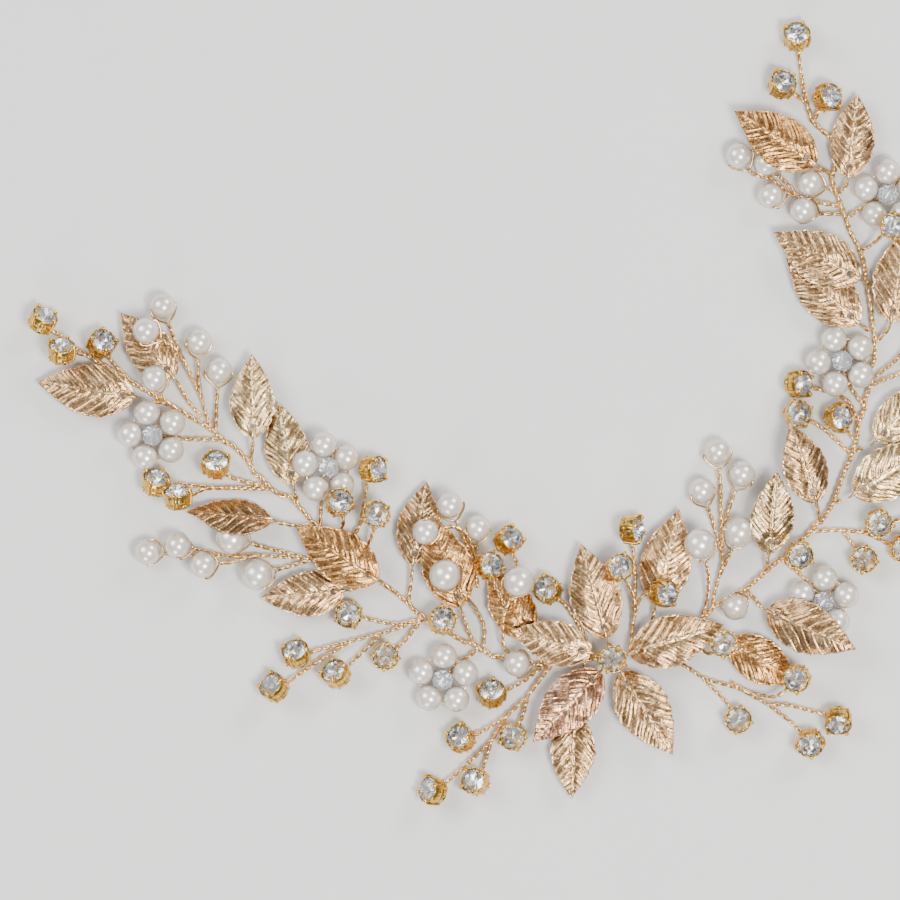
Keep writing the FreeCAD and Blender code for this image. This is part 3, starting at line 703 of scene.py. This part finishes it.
class Surface:
    """A node material under construction, with its textures in object space."""

    def __init__(self, name):
        self.material = bpy.data.materials.new(name)
        self.material.use_nodes = True
        self.nodes = self.material.node_tree.nodes
        self.links = self.material.node_tree.links
        self.shader = self.nodes["Principled BSDF"]
        self.place = self.nodes.new("ShaderNodeTexCoord").outputs["Object"]

    def set(self, **values):
        """Sets sockets of the main shader that are the same all over."""
        for name, value in values.items():
            self.shader.inputs[name.replace("_", " ")].default_value = value
        return self

    def noise(self, size_mm, detail=3.0, roughness=0.55):
        """Noise with features of about this size."""
        node = self.nodes.new("ShaderNodeTexNoise")
        node.inputs["Scale"].default_value = 1000.0 / size_mm
        node.inputs["Detail"].default_value = detail
        node.inputs["Roughness"].default_value = roughness
        self.links.new(self.place, node.inputs["Vector"])
        return node.outputs["Fac"]

    def attribute(self, name):
        """A value stored on the mesh."""
        node = self.nodes.new("ShaderNodeAttribute")
        node.attribute_name = name
        return node.outputs["Fac"]

    def spread(self, value, low, high, start=0.0, end=1.0):
        """The value carried from start..end to low..high."""
        node = self.nodes.new("ShaderNodeMapRange")
        node.inputs["From Min"].default_value = start
        node.inputs["From Max"].default_value = end
        node.inputs["To Min"].default_value = low
        node.inputs["To Max"].default_value = high
        self.links.new(value, node.inputs["Value"])
        return node.outputs["Result"]

    def mix(self, factor, first, second, blend="MIX"):
        """Two colours or colour sockets mixed by the factor."""
        node = self.nodes.new("ShaderNodeMix")
        node.data_type = "RGBA"
        node.blend_type = blend
        if isinstance(factor, float):
            node.inputs[0].default_value = factor
        else:
            self.links.new(factor, node.inputs[0])
        for socket, value in ((node.inputs[6], first), (node.inputs[7], second)):
            if isinstance(value, tuple):
                socket.default_value = (*value, 1.0)
            else:
                self.links.new(value, socket)
        return node.outputs[2]

    def facing(self, blend):
        """0 where the surface faces the eye, 1 at grazing angles."""
        node = self.nodes.new("ShaderNodeLayerWeight")
        node.inputs["Blend"].default_value = blend
        return node.outputs["Facing"]

    def bump(self, height, depth_mm, strength=1.0):
        """Raises the surface by the height."""
        node = self.nodes.new("ShaderNodeBump")
        node.inputs["Strength"].default_value = strength
        node.inputs["Distance"].default_value = depth_mm * MM
        self.links.new(height, node.inputs["Height"])
        self.links.new(node.outputs["Normal"], self.shader.inputs["Normal"])

    def link(self, value, socket):
        """Feeds a socket of the main shader."""
        self.links.new(value, self.shader.inputs[socket])


def gold(name, light, deep, groove_shade, smooth=0.16, rough=0.34, grain_mm=0.22, grain_depth=0.03):
    """Plated metal: two tints in patches, painted shade in the grooves, finely grained."""
    s = Surface(name).set(Metallic=1.0)
    patches = s.spread(s.noise(3.2), 0.0, 1.0, 0.35, 0.65)
    tint = s.mix(patches, light, deep)
    # painted shade: where the painted light value is low the tint goes toward the dark groove colour
    tint = s.mix(s.spread(s.attribute("painted_light"), 1.0, 0.0, 0.05, 0.75), tint, groove_shade)
    shade = s.spread(s.attribute("tone"), 0.82, 1.12)
    node = s.nodes.new("ShaderNodeCombineColor")
    for channel in node.inputs:
        s.links.new(shade, channel)
    s.link(s.mix(1.0, tint, node.outputs[0], "MULTIPLY"), "Base Color")
    s.link(s.spread(s.noise(0.7), smooth, rough, 0.3, 0.7), "Roughness")
    s.bump(s.noise(grain_mm, 4.0, 0.65), grain_depth)
    return s.material


def nacre(name):
    """Ivory pearl: soft body colour with a clear lustre, and painted shade that makes it darker and rosier
    toward its edge as the eye sees it.
    """
    s = Surface(name).set(Metallic=0.45, Roughness=0.26, IOR=1.56, Coat_Weight=0.7, Coat_Roughness=0.05)
    warm = s.mix(s.attribute("tone"), (0.90, 0.82, 0.71), (0.94, 0.88, 0.79))
    cloud = s.mix(s.spread(s.noise(2.4), 0.0, 0.5, 0.35, 0.7), warm, (0.78, 0.70, 0.67))
    # painted shade: the colour darkens toward the pearl's edge by the viewing angle
    painted_edge_shade = s.mix(s.spread(s.facing(0.45), 0.0, 0.85, 0.2, 0.9), cloud, (0.42, 0.33, 0.27))
    s.link(painted_edge_shade, "Base Color")
    s.bump(s.noise(0.5, 2.0), 0.004)
    return s.material


def crystal_glass(name):
    """Clear cut glass with a trace of cloud."""
    s = Surface(name).set(Transmission_Weight=1.0, IOR=1.62, Roughness=0.0)
    s.link(s.mix(s.noise(1.5), (0.93, 0.95, 0.97), (0.99, 0.99, 1.0)), "Base Color")
    return s.material


def bead_glass(name):
    """Faintly clouded cut glass, so that the wire inside hardly shows."""
    s = Surface(name).set(Transmission_Weight=0.8, IOR=1.6, Roughness=0.0)
    s.link(s.mix(s.noise(1.5), (0.86, 0.89, 0.93), (0.97, 0.97, 0.99)), "Base Color")
    return s.material


def foil(name):
    """Silvered back of a cut stone."""
    s = Surface(name).set(Metallic=1.0)
    s.link(s.mix(s.noise(0.8), (0.94, 0.95, 0.96), (1.0, 1.0, 1.0)), "Base Color")
    s.link(s.spread(s.noise(0.4), 0.10, 0.22), "Roughness")
    return s.material


def paper(name):
    """Pale matt backdrop."""
    s = Surface(name).set(Roughness=0.9)
    s.link(s.mix(s.noise(30.0), (0.80, 0.795, 0.785), (0.83, 0.825, 0.815)), "Base Color")
    return s.material


CHAMPAGNE = gold("champagne_leaf", (0.84, 0.56, 0.30), (0.70, 0.42, 0.20), (0.17, 0.075, 0.025))
ROSE = gold("rose_leaf", (0.72, 0.43, 0.26), (0.56, 0.30, 0.17), (0.14, 0.055, 0.025))
PALE = gold("pale_leaf", (0.90, 0.68, 0.39), (0.79, 0.54, 0.27), (0.20, 0.10, 0.035))
DEEP = gold("orange_leaf", (0.82, 0.47, 0.19), (0.67, 0.34, 0.12), (0.15, 0.055, 0.015))
WIRE = gold("rose_gold_wire", (0.86, 0.60, 0.30), (0.74, 0.47, 0.20), (0.32, 0.15, 0.05),
            0.14, 0.26, 0.3, 0.008)
CUP_GOLD = gold("yellow_gold_cup", (0.87, 0.56, 0.14), (0.74, 0.43, 0.08), (0.18, 0.07, 0.01), 0.10, 0.24,
                0.3, 0.012)
NACRE = nacre("ivory_nacre")
GLASS = crystal_glass("cut_glass")
BEAD_GLASS = bead_glass("bead_glass")
FOIL = foil("silver_foil")

LEAF_TONES = {
    "centre_petal_3": ROSE,
    "centre_leaf_1": DEEP,
    "centre_leaf_4": DEEP,
    "left_leaf_3": PALE,
    "left_leaf_4": PALE,
    "left_leaf_6": DEEP,
    "left_leaf_9": DEEP,
    "right_leaf_1": PALE,
    "right_leaf_3": PALE,
    "right_leaf_4": PALE,
    "right_leaf_9": DEEP,
}


# ---- the pieces --------------------------------------------------------------------------------------

def dress_leaf(node, joint, number):
    """The stamped leaf in place of its CAD plate."""
    length, origin, axes = leaf_place(joint, node)
    points, faces, painted_light = leaf_mesh(length, 11 + 7 * number)
    piece = Piece(LEAF_TONES.get(node, CHAMPAGNE))
    piece.add(placed(points, origin, axes), faces, painted_light=painted_light, tone=random.Random(number).random())
    return piece.make(node)


def dress_wires(node):
    """Twisted pairs and single strands in place of the round tubes."""
    piece = Piece(WIRE)
    for number, (points, triangles) in enumerate(solids_of(node)):
        tone = random.Random(number).random()
        caps = end_caps(points, triangles)
        if not caps:
            centre = circle_centre(points)
            normal = thin_axis(points)
            first = unit(np.cross(normal, (0.3, 0.5, 0.81)))
            second = np.cross(normal, first)
            flat = np.linalg.norm(np.cross(points - centre, normal), axis=1)
            reach = (flat.min() + flat.max()) / 2
            angles = np.arange(LOOP_STEPS)[:, None] * TAU / LOOP_STEPS
            line = centre + reach * (np.cos(angles) * first + np.sin(angles) * second)
            parts = [strand(line, (flat.max() - flat.min()) / 2, closed=True)]
        else:
            line = centre_line(points, triangles, caps[0])
            radius = np.linalg.norm(points[caps[0]] - line[0], axis=1).mean()
            if radius > SINGLE_WIRE:
                parts = twisted(line, radius, number * 0.7)
            else:
                parts = [strand(spaced(line, SINGLE_STEP), radius)]
        for part, faces in parts:
            piece.add(part, faces, tone=tone)
    return piece.make(node)


def dress_bend(side):
    """The short length of stem that links the middle stem to a wing's stem where the wing joins the
    middle.
    """
    ends = []
    for node in ("centre_stem_wire", side + "_stem_wire"):
        points, triangles = solids_of(node)[0]
        cap = end_caps(points, triangles)[0]
        line = centre_line(points, triangles, cap)
        radius = np.linalg.norm(points[cap] - line[0], axis=1).mean()
        ends.append([(line[0], line[0] - line[1]), (line[-1], line[-1] - line[-2])])
    pairs = [(a, b) for a in ends[0] for b in ends[1]]
    (first, out), (last, back) = min(pairs, key=lambda pair: np.linalg.norm(pair[0][0] - pair[1][0]))
    start = first - BEND_OVERLAP * unit(out)
    stop = last - BEND_OVERLAP * unit(back)
    line = np.array([start, first, last, stop])
    piece = Piece(WIRE)
    for part, faces in twisted(line, radius * 1.02, 0.9):
        piece.add(part, faces)
    bend = piece.build(side + "_stem_bend")
    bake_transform(bend)


def dress_cups(node, stones_node):
    """Ribbed claw cups and their cut stones."""
    wall, wall_faces = spun(CUP_PROFILE, CUP_SIDES, cup_shape)
    reach = np.hypot(wall[:, 0], wall[:, 1])
    ideal = np.repeat([r for r, _ in CUP_PROFILE], CUP_SIDES)
    # painted shade: rib hollows and the channel mouths are painted darker, rib crests lighter
    painted_light = np.clip(0.62 + (reach - ideal) * 4.5, 0, 1)
    crown_points, crown, pavilion = brilliant()
    slots = [0] * len(crown) + [1] * len(pavilion)
    claws = claw_parts()
    cups = Piece(CUP_GOLD)
    stones = Piece(GLASS, FOIL)
    for number, (origin, axes) in enumerate(cup_places(node, stones_node)):
        tone = random.Random(number + 40).random()
        cups.add(placed(wall, origin, axes), wall_faces, painted_light=painted_light, tone=tone)
        for part, faces in claws:
            cups.add(placed(part, origin, axes), faces, tone=tone)
        spin = turned(crown_points, 0.4 * number)
        stones.add(placed(spin, origin, axes), crown + pavilion, slots, smooth=False, tone=tone)
    return cups.make(node), stones.make(stones_node)


def dress_pearls(node):
    """Lustrous drilled pearls."""
    piece = Piece(NACRE)
    for number, (centre, radius, axes) in enumerate(bead_places(node)):
        points, faces = drilled_ball(radius)
        piece.add(placed(points, centre, axes), faces, tone=random.Random(number * 3 + len(node)).random())
    return piece.make(node)


def dress_crystal(node):
    """A faceted bead, silvered in its bore and on the side toward the table."""
    piece = Piece(BEAD_GLASS, FOIL)
    points, faces = rondelle()
    for centre, radius, axes in bead_places(node):
        put = placed(points * radius / RONDELLE_RADIUS, centre, axes)
        slots = [int(put[list(face), 2].mean() < centre[2] - 0.2) for face in faces]
        slots[-RONDELLE_SIDES:] = [1] * RONDELLE_SIDES
        piece.add(put, faces, slots, smooth=False)
    return piece.make(node)


hinges = {joint["child"]: joint for joint in frame["joints"]}
leaves = [node for node in sorted(frame["nodes"]) if "_leaf_" in node or "_petal_" in node]
for number, node in enumerate(leaves):
    dress_leaf(node, hinges[node], number)
for side in ("centre", "left", "right"):
    dress_wires(side + "_stem_wire")
    dress_wires(side + "_twigs")
    dress_cups(side + "_cups", side + "_cup_stones")
    dress_pearls(side + "_pearls")
dress_cups("centre_setting", "centre_stone")
for side in ("left", "right"):
    dress_bend(side)
    for number in (1, 2, 3):
        dress_pearls("%s_flower_%d_pearls" % (side, number))
        dress_crystal("%s_flower_%d_crystal" % (side, number))


# ---- floor, light and camera ---------------------------------------------------------------------------

IMAGE_RIGHT = Vector((0.932, -0.363, 0.0))      # unit directions of the picture on the table
IMAGE_UP = Vector((0.363, 0.932, 0.0))
LOOK_AT = Vector((-0.0144, 0.0484, 0.003))
VIEW_WIDTH = 0.1718         # of the table, across the picture
CAMERA_HEIGHT = 2.0
SENSOR = 36.0               # millimetres, as the camera states it
FLOOR_GAP = 0.0003          # between the lowest point and the floor
FLOOR_HALF = 6.0


def make_floor():
    """A pale sheet just under the lowest point."""
    low = CAD_BOX[0].z - FLOOR_GAP
    mesh = bpy.data.meshes.new("floor")
    corners = [(x * FLOOR_HALF, y * FLOOR_HALF, low) for x, y in ((-1, -1), (1, -1), (1, 1), (-1, 1))]
    mesh.from_pydata(corners, [], [(0, 1, 2, 3)])
    mesh.materials.append(paper("pale_paper"))
    floor = bpy.data.objects.new("floor", mesh)
    bpy.context.scene.collection.objects.link(floor)


def make_light(name, direction, distance, size, power, colour=(1.0, 1.0, 1.0)):
    """A square softbox facing the object."""
    lamp = bpy.data.lights.new(name, "AREA")
    lamp.shape = "SQUARE"
    lamp.size = size
    lamp.energy = power
    lamp.color = colour
    box = bpy.data.objects.new(name, lamp)
    box.location = LOOK_AT + Vector(direction).normalized() * distance
    box.rotation_euler = (LOOK_AT - box.location).to_track_quat("-Z", "Y").to_euler()
    bpy.context.scene.collection.objects.link(box)


def toward(right, up, height):
    """A direction given in the picture's right and up, and height."""
    return IMAGE_RIGHT * right + IMAGE_UP * up + Vector((0, 0, height))


def make_world():
    """Soft studio dome, brighter overhead."""
    world = bpy.data.worlds.new("studio")
    bpy.context.scene.world = world
    world.use_nodes = True
    nodes = world.node_tree.nodes
    links = world.node_tree.links
    place = nodes.new("ShaderNodeTexCoord")
    split = nodes.new("ShaderNodeSeparateXYZ")
    links.new(place.outputs["Generated"], split.inputs[0])
    ramp = nodes.new("ShaderNodeValToRGB")
    stops = ramp.color_ramp
    stops.elements[0].position = 0.0
    stops.elements[0].color = (0.62, 0.62, 0.63, 1)
    stops.elements[1].position = 1.0
    stops.elements[1].color = (0.85, 0.85, 0.86, 1)
    dark = stops.elements.new(0.45)
    dark.color = (0.30, 0.30, 0.31, 1)
    bright = stops.elements.new(0.9)
    bright.color = (0.62, 0.62, 0.63, 1)
    links.new(split.outputs["Z"], ramp.inputs["Fac"])
    background = nodes["Background"]
    background.inputs["Strength"].default_value = 0.8
    links.new(ramp.outputs["Color"], background.inputs["Color"])


def make_camera():
    """Looks straight down through a long lens."""
    lens = bpy.data.cameras.new("camera")
    lens.sensor_width = SENSOR
    lens.lens = SENSOR * (CAMERA_HEIGHT - LOOK_AT.z) / VIEW_WIDTH
    eye = bpy.data.objects.new("camera", lens)
    eye.location = (LOOK_AT.x, LOOK_AT.y, CAMERA_HEIGHT)
    eye.rotation_euler = (0, 0, -math.atan2(IMAGE_UP.x, IMAGE_UP.y))
    bpy.context.scene.collection.objects.link(eye)
    bpy.context.scene.camera = eye


make_floor()
make_light("key", toward(0.32, -0.26, 1.0), 1.2, 0.34, 15.0, (1.0, 0.98, 0.95))
make_light("fill", toward(-0.9, 0.5, 1.0), 1.4, 0.8, 14.0, (0.95, 0.98, 1.0))
make_light("rim", toward(0.8, 0.9, 0.7), 1.3, 0.5, 9.0)
make_light("low", toward(-0.3, -1.0, 0.5), 1.3, 0.5, 6.0)
make_world()
make_camera()
